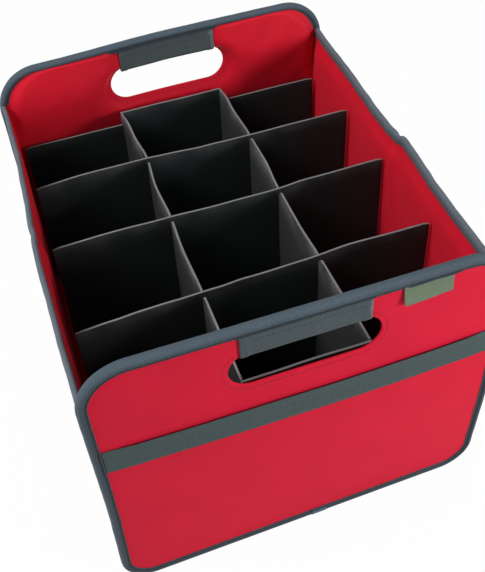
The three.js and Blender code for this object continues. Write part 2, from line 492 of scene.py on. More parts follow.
@dataclass(frozen=True)
class CoatedCloth:
    """Plain-woven cloth with a soft sheen, as on the outside and the lining."""

    name: str
    colour: Colour
    shade: Colour
    roughness: float = 0.58
    gloss: float = 0.06
    pitch: float = 0.62 * MM
    fuzz: float = 1.4 * MM
    crumple: float = 9 * MM
    mottle: float = 38 * MM

    def make(self) -> bpy.types.Material:
        """Puts the material together.

        Returns:
            The material.
        """
        recipe = Recipe(self.name)
        space = recipe.coordinates("Object")
        weave = recipe.plain_weave(self.pitch)
        patches = recipe.spread(recipe.cloud(space, self.mottle, detail=3.0), low=0.3, high=0.7)
        threads = recipe.cloud(space, self.fuzz, detail=1.0)
        gaps = recipe.math("SUBTRACT", 1.0, weave)
        recipe.paint(recipe.total((gaps, 0.45), (patches, 0.22), (threads, 0.16)), self.colour, self.shade)
        recipe.surface(self.roughness, sheen=0.02, gloss=self.gloss, sheen_roughness=0.45)
        recipe.bump(weave, distance=0.09 * MM, strength=0.7)
        recipe.bump(recipe.cloud(space, self.crumple), distance=0.5 * MM, strength=0.25)
        return recipe.material


@dataclass(frozen=True)
class TwillTape:
    """Folded binding tape with fine diagonal ribs, a painted highlight along the crown, painted shade on
    the flanges and paler, rubbed edges.

    Attributes:
        name: the material's name.
        colour: the ribs.
        shade: between the ribs.
        crease: how far from the fold the crown ends and the flange starts.
        edge: how far from the fold the tape ends.
        pitch: the space between ribs.
        thread: the space between the threads that break the ribs up.
        slant: how much the ribs run on for each step across.
        crown: how far from the fold the painted highlight on the crown is whole, and where it ends.
        fade: how far before and after the crease the painted shade on the flange sets in.
        hem: how far from its edge the paler, rubbed hem starts, and is whole.
        lighter: how much paler than the ribs the painted crown highlight and the rubbed hem are.
    """

    name: str
    colour: Colour
    shade: Colour
    crease: float
    edge: float
    pitch: float = 2.2 * MM
    thread: float = 0.55 * MM
    slant: float = 0.8
    crown: tuple[float, float] = (3.2 * MM, 5.6 * MM)
    fade: tuple[float, float] = (2.4 * MM, 0.4 * MM)
    hem: tuple[float, float] = (0.7 * MM, 0.3 * MM)
    lighter: float = 1.7

    def make(self) -> bpy.types.Material:
        """Puts the material together.

        Returns:
            The material.
        """
        recipe = Recipe(self.name)
        space = recipe.coordinates("Object")
        along, across = recipe.split(recipe.coordinates("UV"))[:2]
        slant = recipe.math("MULTIPLY", across, self.slant)
        ribs = recipe.wave(recipe.math("ADD", along, slant), self.pitch)
        breaks = recipe.math("MULTIPLY", recipe.wave(across, self.thread), 0.35)
        height = recipe.math("MULTIPLY", ribs, recipe.math("ADD", 0.65, breaks))
        fuzz = recipe.cloud(space, 1.1 * MM)
        patches = recipe.math("SUBTRACT", recipe.cloud(space, 24 * MM), 0.5)
        tone = recipe.total((height, 0.62), (fuzz, 0.5), (patches, 0.3))
        ribbed = recipe.mix(tone, self.shade, self.colour)
        lighter = tuple(self.lighter * part for part in self.colour)
        from_fold = recipe.math("ABSOLUTE", across)
        # Painted highlight: the crown is mixed towards the paler colour, as if lit along the top of the
        # fold.
        crown = recipe.spread(from_fold, low=self.crown[1], high=self.crown[0])
        ribbed = recipe.mix(recipe.math("MULTIPLY", crown, 0.18), ribbed, lighter)
        # Painted shade: the flange is darkened past the crease, as if shaded below the lit crown; its
        # rubbed hem is paler.
        flange = recipe.spread(from_fold, low=self.crease - self.fade[0], high=self.crease + self.fade[1])
        hem = recipe.spread(from_fold, low=self.edge - self.hem[0], high=self.edge - self.hem[1])
        rubbed = recipe.math("MULTIPLY", hem, recipe.spread(fuzz, low=0.3, high=0.6))
        dark = recipe.mix(0.6, ribbed, self.shade)
        recipe.paint(flange, ribbed, recipe.mix(rubbed, dark, lighter))
        recipe.surface(0.8, sheen=0.06, gloss=0.1)
        recipe.bump(height, distance=0.24 * MM, strength=0.85)
        recipe.bump(fuzz, distance=0.12 * MM, strength=0.35)
        return recipe.material


def map_strip(piece: bpy.types.Object, section: Sequence[tuple[float, float]], fold: int) -> None:
    """Lays out a folded strip's map by its true widths, measured from the fold.

    Args:
        piece: the strip, whose map runs evenly over the points of its section.
        section: the points of its section.
        fold: the number of the point at the middle of the fold.
    """
    lengths = [0.0]
    for before, after in zip(section, section[1:]):
        lengths.append(lengths[-1] + math.dist(before, after))
    last = len(section) - 1
    corners = piece.data.uv_layers.active.data
    for corner in corners:
        number = round(corner.uv[1] / lengths[-1] * last)
        corner.uv = (corner.uv[0], lengths[number] - lengths[fold])


@dataclass(frozen=True)
class RibbedWebbing:
    """Close-woven webbing and elastic, with fine ribs across it."""

    name: str
    colour: Colour
    shade: Colour
    rib: float = 1.5 * MM
    thread: float = 0.9 * MM
    fuzz: float = 1.3 * MM

    def make(self) -> bpy.types.Material:
        """Puts the material together.

        Returns:
            The material.
        """
        recipe = Recipe(self.name)
        along, across = recipe.split(recipe.coordinates("UV"))[:2]
        height = recipe.total((recipe.wave(along, self.rib), 0.6), (recipe.wave(across, self.thread), 0.4))
        fuzz = recipe.cloud(recipe.coordinates("Object"), self.fuzz)
        grain = recipe.spread(fuzz, low=0.3, high=0.7)
        recipe.paint(recipe.total((height, 0.55), (grain, 0.4)), self.shade, self.colour)
        recipe.surface(0.76, sheen=0.04, gloss=0.1)
        recipe.bump(height, distance=0.14 * MM, strength=0.8)
        recipe.bump(fuzz, distance=0.1 * MM, strength=0.3)
        return recipe.material


@dataclass(frozen=True)
class DividerCover:
    """Black cloth over stiff board, with a painted grey sheen near the top that fades downwards in random
    patches.

    Attributes:
        name: the material's name.
        colour: the black cloth below the painted sheen.
        lighter: the grey of the painted sheen.
        top: the height of the divider.
        fade: how far below the top the painted sheen ends.
        falloff: how quickly the painted sheen weakens on the way down.
        pitch: the space between threads.
        patch: the size of the random patches that break the painted sheen up.
        crumple: the size of the cloth's bumps.
    """

    name: str
    colour: Colour
    lighter: Colour
    top: float
    fade: float = 26 * MM
    falloff: float = 2.0
    pitch: float = 0.5 * MM
    patch: float = 30 * MM
    crumple: float = 14 * MM

    def make(self) -> bpy.types.Material:
        """Puts the material together.

        Returns:
            The material.
        """
        recipe = Recipe(self.name)
        space = recipe.coordinates("Object")
        weave = recipe.plain_weave(self.pitch)
        height = recipe.spread(recipe.split(space)[2], low=self.top - self.fade, high=self.top)
        patches = recipe.spread(recipe.cloud(space, self.patch), low=0.35, high=0.7)
        # Painted sheen: paler towards the top, as if light fell on the upper faces, broken up by random
        # patches.
        top_sheen = recipe.math("MULTIPLY", recipe.math("POWER", height, self.falloff), patches)
        recipe.paint(recipe.total((top_sheen, 0.75), (weave, 0.12)), self.colour, self.lighter)
        recipe.surface(0.55, sheen=0.01, gloss=0.2)
        recipe.bump(weave, distance=0.06 * MM, strength=0.5)
        recipe.bump(recipe.cloud(space, self.crumple), distance=0.4 * MM, strength=0.3)
        return recipe.material


@dataclass(frozen=True)
class PlainFinish:
    """A quiet, slightly uneven finish for thread, folded edges, the divider's painted edge highlight and
    hidden board.
    """

    name: str
    colour: Colour
    shade: Colour
    grain: float = 1.2 * MM

    def make(self) -> bpy.types.Material:
        """Puts the material together.

        Returns:
            The material.
        """
        recipe = Recipe(self.name)
        grain = recipe.cloud(recipe.coordinates("Object"), self.grain)
        recipe.paint(grain, self.shade, self.colour)
        recipe.surface(0.7, sheen=0.05, gloss=0.3)
        recipe.bump(grain, distance=0.08 * MM, strength=0.4)
        return recipe.material


@dataclass
class Finishes:
    """Every material of the box, made once."""

    divider_top: float

    def __post_init__(self) -> None:
        """Makes the materials."""
        top = self.divider_top
        self.cloth = CoatedCloth("red cloth", (0.72, 0.013, 0.043), (0.50, 0.008, 0.028)).make()
        self.lining = CoatedCloth(
            "red lining", (0.70, 0.0115, 0.031), (0.46, 0.0065, 0.017), roughness=0.5, gloss=0.1
        ).make()
        self.tape = TwillTape(
            "slate twill tape", (0.078, 0.106, 0.134), (0.022, 0.032, 0.037), 8.1 * MM, edge=11.69 * MM
        ).make()
        self.side_tape = TwillTape(
            "side twill tape", (0.140, 0.162, 0.192), (0.040, 0.049, 0.060), 9.2 * MM, edge=12.16 * MM
        ).make()
        self.webbing = RibbedWebbing("dark webbing", (0.078, 0.108, 0.108), (0.030, 0.050, 0.051)).make()
        self.grip = RibbedWebbing(
            "grip cloth", (0.084, 0.108, 0.114), (0.038, 0.051, 0.056), rib=1.2 * MM
        ).make()
        self.label = RibbedWebbing(
            "label cloth", (0.17, 0.225, 0.15), (0.09, 0.125, 0.08), rib=0.6 * MM
        ).make()
        # Painted sheen: the cross panels' cover grows paler towards its top, standing in for light from
        # above.
        self.cover = DividerCover(
            "divider cover", (0.0095, 0.0135, 0.0135), (0.055, 0.057, 0.060), top
        ).make()
        # A brighter copy of the cover for the long panels: its paler, deeper painted sheen stands in for
        # light from the left on their faces.
        self.long_cover_with_brighter_sheen = DividerCover(
            "long divider cover", (0.012, 0.0125, 0.013), (0.18, 0.185, 0.195), top, 36 * MM, falloff=2.8
        ).make()
        # Painted highlight: the panels' rims are pale grey, standing in for light catching the top edges of
        # the black cover.
        self.edge_highlight = PlainFinish("divider edge", (0.24, 0.24, 0.24), (0.11, 0.11, 0.115)).make()
        self.grip_edge = PlainFinish("worn grip edge", (0.13, 0.155, 0.16), (0.07, 0.09, 0.1)).make()
        self.board = PlainFinish(
            "stiffening board", (0.30, 0.30, 0.30), (0.24, 0.24, 0.24), grain=6 * MM
        ).make()
        self.dark_thread = PlainFinish("dark thread", (0.05, 0.065, 0.075), (0.015, 0.02, 0.025)).make()
        self.red_thread = PlainFinish("red thread", (0.30, 0.008, 0.02), (0.14, 0.004, 0.01)).make()


def dress(
    piece: bpy.types.Object,
    materials: Sequence[bpy.types.Material],
    stands_for: Sequence[str] = (),
) -> None:
    """Gives a piece its finish and its place in the frame.

    Args:
        piece: the finished piece.
        materials: its materials, in the order of its slots.
        stands_for: the CAD nodes that it replaces.
    """
    piece.data.materials.clear()
    for material in materials:
        piece.data.materials.append(material)
    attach(piece, "root")
    if stands_for:
        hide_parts(*stands_for)
    log.info("%s: %d faces", piece.name, len(piece.data.polygons))


@dataclass(frozen=True)
class Stitch:
    """One stitch of a seam: where it lies, the way it runs and the way it faces."""

    centre: Vector
    along: Vector
    up: Vector


@dataclass
class Seams:
    """Rows of stitches, each a copy of one short, plump thread."""

    length: float = 2.7 * MM
    pitch: float = 3.5 * MM
    girth: float = 0.55 * MM

    def thread(self) -> bpy.types.Mesh:
        """Makes one stitch, which runs along X and faces Z.

        Returns:
            Its mesh.
        """
        bpy.ops.object.select_all(action="DESELECT")
        bpy.ops.mesh.primitive_uv_sphere_add(segments=6, ring_count=5, radius=0.5)
        model = bpy.context.object
        bpy.ops.object.mode_set(mode="EDIT")
        bpy.ops.mesh.select_all(action="SELECT")
        bpy.ops.transform.rotate(value=math.pi / 2, orient_axis="Y", center_override=(0.0, 0.0, 0.0))
        bpy.ops.transform.resize(value=(self.length, self.girth, self.girth))
        bpy.ops.object.mode_set(mode="OBJECT")
        bpy.ops.object.shade_smooth()
        mesh = model.data
        bpy.data.objects.remove(model)
        return mesh

    def sew(self, name: str, row: Sequence[Stitch], material: bpy.types.Material, slot: Slot) -> None:
        """Lays a row of stitches down as one piece.

        Args:
            name: the piece's name.
            row: the stitches.
            material: the thread's finish.
            slot: not used.
        """
        thread = self.thread()
        whole = bmesh.new()
        for stitch in row:
            x = stitch.along.normalized()
            z = stitch.up.normalized()
            y = z.cross(x).normalized()
            turn = Matrix((x, y, x.cross(y))).transposed().to_4x4()
            before = len(whole.verts)
            whole.from_mesh(thread)
            whole.verts.ensure_lookup_table()
            new = whole.verts[before:]
            bmesh.ops.transform(whole, matrix=Matrix.Translation(stitch.centre) @ turn, verts=new)
        mesh = bpy.data.meshes.new(name)
        whole.to_mesh(mesh)
        whole.free()
        bpy.data.meshes.remove(thread)
        piece = bpy.data.objects.new(name, mesh)
        bpy.context.scene.collection.objects.link(piece)
        dress(piece, [material])

    def along_path(self, where: Callable[[float], Vector], up: Vector, length: float) -> list[Stitch]:
        """Spaces stitches along a path.

        Args:
            where: gives a point for a share of the path.
            up: the way the cloth faces.
            length: the path's length.

        Returns:
            The stitches.
        """
        count = max(2, int(length / self.pitch))
        row = []
        for number in range(count):
            share = (number + 0.5) / count
            nudge = 0.1 / count
            along = where(share + nudge) - where(share - nudge)
            row.append(Stitch(lean(where(share)), along, up))
        return row


@dataclass
class EndPanel:
    """A stiff end of the box: cloth, lining, binding, grip wrap and, in front, band and label."""

    end: End
    finishes: Finishes
    seams: Seams
    low_radius: float = 29 * MM
    high_radius: float = 40 * MM
    cloth_inset: float = 2 * MM
    cloth_thickness: float = 0.8 * MM
    lining_thickness: float = 0.6 * MM
    turned_radius: float = 0.8 * MM
    hole_edge: float = 2 * MM
    hole_length: float = 113 * MM
    hole_height: float = 34.6 * MM
    hole_below_top: float = 25.5 * MM
    side_wall_top: float = 244.1 * MM
    stitch_inset: float = 6.6 * MM
    hole_stitch: float = 4.2 * MM
    tape_width: float = 7.8 * MM
    bow: float = 0.6 * MM
    bow_height: float = 150 * MM
    pull: float = 7 * MM
    pull_start: float = -10 * MM
    pull_reach: float = 130 * MM
    pull_foot: float = 150 * MM
    pull_rise: float = 115 * MM
    belly: float = 6.4 * MM
    belly_height: float = 236 * MM
    belly_reach: float = 32 * MM
    belly_gap: float = 64 * MM
    calm_reach: float = 26 * MM
    dip_start: float = 1.5 * MM
    dip_reach: float = 10 * MM
    layer_gap: float = 0.3 * MM
    board_hole: float = 12 * MM
    hole_shift: float = 0.0
    wrap_shift: float = 0.0
    wrap_trim: float = 0.0
    round_cuts: int = 288

    def __post_init__(self) -> None:
        """Reads the panel's place from the frame and lays out its outlines."""
        low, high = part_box(self.end.named("binding"))
        self.half = (high.x - low.x) / 2
        self.height = high.z
        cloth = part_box(self.end.named("outer_cloth"))
        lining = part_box(self.end.named("lining"))
        self.face = max(abs(cloth[0].y), abs(cloth[1].y))
        self.depth = self.face - min(abs(lining[0].y), abs(lining[1].y))
        self.seed = 3.1
        if self.end is End.BACK:
            self.seed = 11.7
            self.hole_below_top += 1 * MM
            self.hole_shift = -1.9 * MM
            self.wrap_shift = -3 * MM
            self.wrap_trim = 1.3 * MM
        quarter = math.pi / 2
        foot = self.half - self.low_radius
        leg = self.height - self.low_radius - self.high_radius
        head = 2 * (self.half - self.high_radius)
        low_turn = (quarter * self.low_radius, self.low_radius)
        high_turn = (quarter * self.high_radius, self.high_radius)
        rising = ((foot, 0), low_turn, (leg, 0), high_turn)
        sides = (*rising, (head, 0), *reversed(rising))
        self.rim = Route((0.0, 0.0), 0.0, sides)
        radius = self.hole_height / 2
        straight = self.hole_length / 2 - radius
        hole_low = self.height - self.hole_below_top - self.hole_height
        end_turn = (math.pi * radius, radius)
        turns = ((straight, 0), end_turn, (2 * straight, 0), end_turn, (straight, 0))
        self.hole = Route((self.hole_shift, hole_low), 0.0, turns)
        self.wrap_low, self.wrap_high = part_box(self.end.named("grip_wrap"))
        self.covers = [(self.wrap_low, self.wrap_high)]
        if self.end is End.FRONT:
            self.covers.append(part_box("front_label"))
            self.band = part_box("front_elastic_band")

    def put(self, x: float, proud: float, z: float) -> Point:
        """Places a point that is given as seen from outside the panel.

        Args:
            x: to the right, seen from outside.
            proud: outwards from the face of the cloth.
            z: up.

        Returns:
            The point in the frame.
        """
        across = min(abs(x) / self.half, 1.0)
        proud += self.bow * (1.0 - across * across) * eased(z / self.bow_height)
        if self.end is End.FRONT:
            return x, -self.face - proud, z
        beside = eased((x - self.pull_start) / self.pull_reach)
        above = eased((z - self.pull_foot) / self.pull_rise)
        proud -= self.pull * beside * above
        return -x, self.face + proud, z

    def faces(self, face: Face) -> Vector:
        """Returns the way that a face of the panel faces."""
        out = -1.0 if self.end is End.FRONT else 1.0
        return Vector((0.0, out if face is Face.OUTER else -out, 0.0))

    def billow(self, x: float, z: float, face: Face) -> float:
        """Returns how far the cloth stands off its board, outwards from that face.

        Args:
            x: to the right, seen from outside.
            z: up.
            face: the outer cloth or the lining.

        Returns:
            The distance in metres.
        """
        if face is Face.OUTER:
            broad = 0.32 * waver(x, z, 75 * MM, self.seed)
            fine = 0.10 * waver(x, z, 17 * MM, self.seed + 5)
            return (0.3 + broad + fine) * MM
        broad = 1.5 * waver(x + 0.5 * z, z, 52 * MM, self.seed + 9)
        fine = 0.6 * waver(x + 0.9 * z, 0.6 * z, 24 * MM, self.seed + 2)
        beside = 1.0 - hump(x, self.belly_gap)
        belly = self.belly / MM * hump(z - self.belly_height, self.belly_reach) * beside
        return max(0.15, 0.8 + broad + fine + belly) * MM

    def free(self, x: float, z: float, from_rim: float) -> float:
        """Returns 0 where the binding or the grip wrap holds the cloth down, and 1 where it is free.

        Args:
            x: to the right, seen from outside.
            z: up.
            from_rim: how far the point is from the panel's edge.

        Returns:
            The share from 0 to 1.
        """
        ramp = 9 * MM
        off_tape = eased((from_rim - self.tape_width + 2 * MM) / (12 * MM))
        beside = (abs(x) - self.wrap_high.x) / ramp
        below = (self.wrap_low.z - z) / ramp
        return off_tape * max(eased(beside), eased(below))

    def sunk(self, x: float, z: float, face: Face, from_rim: float, from_hole: float) -> float:
        """Returns how far a cloth lies below its plain face; the lining dips to the cloth at the hole.

        Args:
            x: to the right, seen from outside.
            z: up.
            face: the outer cloth or the lining.
            from_rim: how far the point is from the panel's edge.
            from_hole: how far it is from the hole's edge.

        Returns:
            The depth in metres.
        """
        raised = self.billow(x, z, face) * self.free(x, z, from_rim)
        raised *= eased(from_hole / self.calm_reach)
        if face is Face.OUTER:
            return -raised
        dip = 1.0 - eased((from_hole - self.dip_start) / self.dip_reach)
        return (self.depth - self.hole_edge) * dip - raised

    def make_board(self) -> None:
        """Makes the hidden board, bent with the panel."""
        node = self.end.named("board")
        low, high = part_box(node)
        thickness = high.y - low.y - self.layer_gap
        sunk = self.face - max(abs(low.y), abs(high.y)) + self.layer_gap / 2
        inset = high.z - self.height

        def place(across: float, along: float) -> Point:
            """Returns where a point of the sheet lies."""
            edge = self.rim.at(across, -inset)
            near = self.hole.at(across, -self.board_hole)
            return self.put(mixed(edge[0], near[0], along), -sunk, mixed(edge[1], near[1], along))

        piece = shape_sheet(self.end.named("stiffener"), (144, 12), place, None)
        thicken(piece, thickness)
        dress(piece, [self.finishes.board], [node])

    def make_cloth(self, face: Face) -> None:
        """Makes the outer cloth or the lining, turned in round the hand hole.

        Args:
            face: which of the two.
        """
        flat_rows, turned_rows = 42, 6
        rows = flat_rows + turned_rows
        outer = face is Face.OUTER
        radius = self.turned_radius
        deep = self.hole_edge / 2 - 0.05 * MM

        def place(across: float, along: float) -> Point:
            """Returns where a point of the sheet lies."""
            share = across if outer else 1.0 - across
            row = round(along * rows)
            edge = self.rim.at(share, self.cloth_inset)
            if row <= flat_rows:
                step = row / flat_rows
                near = self.hole.at(share, -radius)
                x = mixed(edge[0], near[0], step)
                z = mixed(edge[1], near[1], step)
                wide = math.dist(edge, near)
                sunk = self.sunk(x, z, face, step * wide + self.cloth_inset, (1.0 - step) * wide)
            else:
                turn = min(1.0, (row - flat_rows) / (turned_rows - 1)) * math.pi / 2
                x, z = self.hole.at(share, -radius * (1.0 - math.sin(turn)))
                sunk = radius * (1.0 - math.cos(turn))
                if row == rows:
                    sunk = deep
                if not outer:
                    sunk += self.depth - self.hole_edge
            proud = -sunk if outer else -self.depth + sunk
            return self.put(x, proud, z)

        name = self.end.named("cloth" if outer else "inner_lining")
        piece = shape_sheet(name, (self.round_cuts, rows), place, None)
        thicken(piece, self.cloth_thickness if outer else self.lining_thickness, even=False)
        node = self.end.named("outer_cloth" if outer else "lining")
        material = self.finishes.cloth if outer else self.finishes.lining
        dress(piece, [material], [node])
        self.end.named("stiffener")

    def profile(self) -> list[tuple[float, float]]:
        """Lays out the binding's section, closed round the edge.

        Returns:
            Its points, as inset and height over the face.
        """
        outside = [
            (7.7, 0.1), (7.82, 0.4), (7.65, 0.64), (7.3, 0.68), (6.95, 0.56), (6.6, 0.44),
            (6.25, 0.5), (5.9, 0.54), (5.6, 0.4), (5.3, 0.8), (4.8, 1.35), (4.2, 1.78), (3.4, 1.98),
            (2.6, 1.88), (1.9, 1.42), (1.2, 0.75), (0.6, -0.1), (0.2, -1.2),
        ]
        middle = [(0.0, -self.depth / 2 / MM)]
        inside = [(inset, -self.depth / MM - proud) for inset, proud in reversed(outside)]
        skin = 0.08
        back = [
            (7.0, -self.depth / MM - skin), (4.5, -self.depth / MM - skin), (1.95, -self.depth / MM - skin),
            (1.7, -self.depth / 2 / MM), (1.95, skin), (4.5, skin), (7.0, skin),
        ]
        points = outside + middle + inside + back
        return [(inset * MM, proud * MM) for inset, proud in points + points[:1]]

    def over_trim(self, x: float, z: float, outside: bool) -> float:
        """Returns 1 where the binding lies over the wrap, the band or the label, and 0 elsewhere.

        Args:
            x: to the right, seen from outside.
            z: up.
            outside: whether it is on the outer face.

        Returns:
            The share from 0 to 1.
        """
        ramp = 3.5 * MM
        most = 0.0
        for low, high in self.covers if outside else self.covers[:1]:
            beside = abs(x - (low.x + high.x) / 2) - (high.x - low.x) / 2
            if z > low.z:
                most = max(most, 1.0 - eased(beside / ramp))
        if self.end is End.FRONT and outside:
            low, high = self.band
            above = abs(z - (low.z + high.z) / 2) - (high.z - low.z) / 2
            most = max(most, 1.0 - eased(above / ramp))
        return most

    def bound_point(self, share: float, inset: float, proud: float) -> Point:
        """Places a point of the binding, with the unevenness of folded tape.

        Args:
            share: how far round the panel.
            inset: inwards from the edge.
            proud: over the face of the cloth.

        Returns:
            The point in the frame.
        """
        inside = proud < -self.depth + 0.5 * MM
        loop = Vector((math.cos(share * math.tau), math.sin(share * math.tau), 0.0))
        slow = noise.noise(loop * 4.0 + Vector((0.0, 0.0, self.seed)))
        quick = noise.noise(loop * 15.0 + Vector((0.0, 0.0, self.seed + 4)))
        x, z = self.rim.at(share)
        lip = eased((inset - 5.2 * MM) / (1.5 * MM))
        edge = 1.0 - eased(inset / (5 * MM))
        inset += (0.4 * slow + 0.3 * quick) * MM * lip
        inset += 0.25 * quick * MM * edge * (1.0 if z > 6 * MM else 0.0)
        lift = lip * 0.85 * MM * self.over_trim(x, z, not inside)
        proud += -lift if inside else lift
        if inside and z < self.side_wall_top:
            inset = min(inset, 2.55 * MM)
            proud = max(proud, -self.depth - 0.9 * MM)
        x, z = self.rim.at(share, inset)
        return self.put(x, proud, max(z, 0.0))

    def make_binding(self) -> None:
        """Makes the tape that is folded over the panel's edge and stitched through."""
        section = self.profile()
        last = len(section) - 1

        def place(across: float, along: float) -> Point:
            """Returns where a point of the sheet lies."""
            inset, proud = section[round(along * last)]
            return self.bound_point(across % 1.0, inset, proud)

        name = self.end.named("edge_tape")
        wide = sum(math.dist(a, b) for a, b in zip(section, section[1:]))
        flat = (self.rim.length, wide)
        piece = shape_sheet(name, (360, last), place, flat)
        fold = [inset for inset, proud in section].index(0.0)
        map_strip(piece, section, fold)
        pick(piece)
        bpy.ops.object.mode_set(mode="EDIT")
        bpy.ops.mesh.select_all(action="SELECT")
        bpy.ops.mesh.normals_make_consistent(inside=False)
        bpy.ops.object.mode_set(mode="OBJECT")
        dress(piece, [self.finishes.tape], [self.end.named("binding")])
        self.end.named("stiffener")

    def make_lap(self) -> None:
        """Makes the short end of the tape that laps over its start, low on the panel."""
        section = self.profile()[1:20]
        start = 0.006
        reach = 0.012

        def place(across: float, along: float) -> Point:
            """Returns where a point of the sheet lies."""
            inset, proud = section[round(along * (len(section) - 1))]
            share = start + reach * (1.0 - across)
            lift = 0.42 * MM
            middle = 3.8 * MM
            grow = 1.0 + lift / middle
            x, z = self.rim.at(share, middle + (inset - middle) * grow)
            return self.put(x, proud + lift, max(z, 0.02 * MM))

        piece = shape_sheet(self.end.named("tape_lap"), (10, len(section) - 1), place, (14 * MM, 24 * MM))
        thicken(piece, 0.4 * MM)
        dress(piece, [self.finishes.tape])

    def make_wrap(self) -> None:
        """Makes the cloth folded round the grip, hemmed at both sides."""
        low, high = self.wrap_low, self.wrap_high
        half = (high.x - low.x) / 2 - self.wrap_trim
        stand = 1.25 * MM
        radius = self.depth / 2 + stand
        top = high.z + 1.6 * MM
        straight = top - low.z - radius
        route = Route(
            (-stand, top),
            -math.pi / 2,
            ((straight, 0.0), (math.pi * radius, radius), (straight, 0.0)),
        )
        hem = 5.6 * MM

        def place(across: float, along: float) -> Point:
            """Returns where a point of the sheet lies."""
            x = half * (1.0 - 2.0 * across)
            from_side = half - abs(x)
            raised = 0.5 * MM * (1.0 - eased((from_side - hem) / (1.6 * MM)))
            raised -= 0.4 * MM * (1.0 - eased(from_side / (1.4 * MM)))
            raised += 0.22 * MM * waver(x, along * 0.05, 16 * MM, self.seed + 1)
            tucked = eased(min(along, 1.0 - along) / 0.12)
            inward, z = route.at(along, -raised * tucked)
            pulled = 0.5 * MM * waver(z, along, 12 * MM, self.seed + 8)
            return self.put(x + math.copysign(pulled, x) + self.wrap_shift, -inward, z)

        name = self.end.named("grip_cloth")
        flat = (2 * half, route.length)
        piece = shape_sheet(name, (76, 56), place, flat)
        thicken(piece, 1.0 * MM)
        round_edges(piece, 0.3 * MM)
        finishes = [self.finishes.grip, self.finishes.grip_edge]
        dress(piece, finishes, [self.end.named("grip_wrap")])
        turn = 1.0 if self.end is End.FRONT else -1.0
        for face in piece.data.polygons:
            from_middle = abs(turn * face.center.x - self.wrap_shift)
            face.material_index = int(from_middle > half - 0.35 * MM)
        self.end.named("stiffener")
        self.sew_wrap(half, low.z, high.z, stand, hem)

    def sew_wrap(self, half: float, low: float, high: float, stand: float, hem: float) -> None:
        """Sews the wrap's two faces along the top and down its hems.

        Args:
            half: half of the wrap's length.
            low: its lower edge.
            high: its upper edge.
            stand: how far it stands off the cloth.
            hem: the width of its hems.
        """
        row: list[Stitch] = []
        top = high - 3.4 * MM
        foot = low + self.depth / 2 + 1.5 * MM
        shift = self.wrap_shift
        column = half - hem + 1.4 * MM
        for face in Face:
            outer = face is Face.OUTER
            flat = stand + 0.02 * MM if outer else -self.depth - stand - 0.02 * MM
            hemmed = flat + 0.42 * MM if outer else flat - 0.42 * MM
            up = self.faces(face)

            def along_top(share: float, proud: float = flat) -> Vector:
                """Returns a point of the row along the top."""
                return Vector(self.put(mixed(-column, column, share) + shift, proud, top))

            row += self.seams.along_path(along_top, up, 2 * column)
            for side in (-1.0, 1.0):

                def down_hem(share: float, side: float = side, proud: float = hemmed) -> Vector:
                    """Returns a point of the row down a hem."""
                    return Vector(self.put(side * column + shift, proud, mixed(foot, top, share)))

                row += self.seams.along_path(down_hem, up, top - foot)
        self.seams.sew(self.end.named("grip_stitches"), row, self.finishes.dark_thread, Slot.WEBBING)

    def sew_binding(self) -> None:
        """Sews the binding down on both faces."""
        row: list[Stitch] = []
        for face in Face:
            outer = face is Face.OUTER
            proud = 0.5 * MM if outer else -self.depth - 0.5 * MM
            up = self.faces(face)

            def where(share: float, proud: float = proud) -> Vector:
                """Returns a point of the seam."""
                return Vector(self.bound_point(share % 1.0, self.stitch_inset, proud))

            stitches = self.seams.along_path(where, up, self.rim.length)
            if not outer:
                above = self.side_wall_top + 2 * MM
                stitches = [stitch for stitch in stitches if stitch.centre.z > above]
            row += stitches
        self.seams.sew(self.end.named("tape_stitches"), row, self.finishes.dark_thread, Slot.TAPE)

    def sew_hole(self) -> None:
        """Sews round the hand hole, outside the grip wrap."""
        row: list[Stitch] = []
        for face in Face:
            outer = face is Face.OUTER
            up = self.faces(face)

            def where(share: float, outer: bool = outer, face: Face = face) -> Vector:
                """Returns a point of the seam."""
                x, z = self.hole.at(share % 1.0, -self.hole_stitch)
                deep = self.sunk(x, z, face, 20 * MM, self.hole_stitch) - 0.05 * MM
                return Vector(self.put(x, -deep if outer else -self.depth + deep, z))

            length = self.hole.length + math.tau * self.hole_stitch
            for stitch in self.seams.along_path(where, up, length):
                x, z = stitch.centre.x, stitch.centre.z
                under = abs(x) < self.wrap_high.x + 3 * MM and z > self.wrap_low.z
                if not under:
                    row.append(stitch)
        self.seams.sew(self.end.named("hole_stitches"), row, self.finishes.red_thread, Slot.CLOTH)

    def make_band(self) -> None:
        """Makes the elastic band across the front, which stands off the cloth along its top."""
        low, high = self.band
        over = 1.2 * MM
        ends_raised = (1.5 * MM, 3.8 * MM)
        half = high.x + over

        def place(across: float, along: float) -> Point:
            """Returns where a point of the sheet lies."""
            x = mixed(-half, half, across)
            z = mixed(low.z, high.z + over, along)
            free = eased((half - abs(x)) / (26 * MM))
            z += 0.35 * MM * waver(x, along, 60 * MM, 2.2) * free
            z += mixed(*ends_raised, across) * (2.0 * across - 1.0) ** 2
            stand = 0.62 * MM + 1.3 * MM * free * along**3 + 0.25 * MM * free * (1.0 - along) ** 3
            return self.put(x, self.billow(x, z, Face.OUTER) * free + stand, z)

        flat = (2 * half, high.z - low.z)
        piece = shape_sheet("front_band", (190, 18), place, flat)
        thicken(piece, 0.9 * MM, 0.0)
        round_edges(piece, 0.28 * MM)
        dress(piece, [self.finishes.webbing], ["front_elastic_band"])

    def make_label(self) -> None:
        """Makes the small bare label, a folded tab that hangs from the binding."""
        low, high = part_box("front_label")
        shift = 3.6 * MM
        foot = low.z + 1.5 * MM
        top = high.z + 2.5 * MM

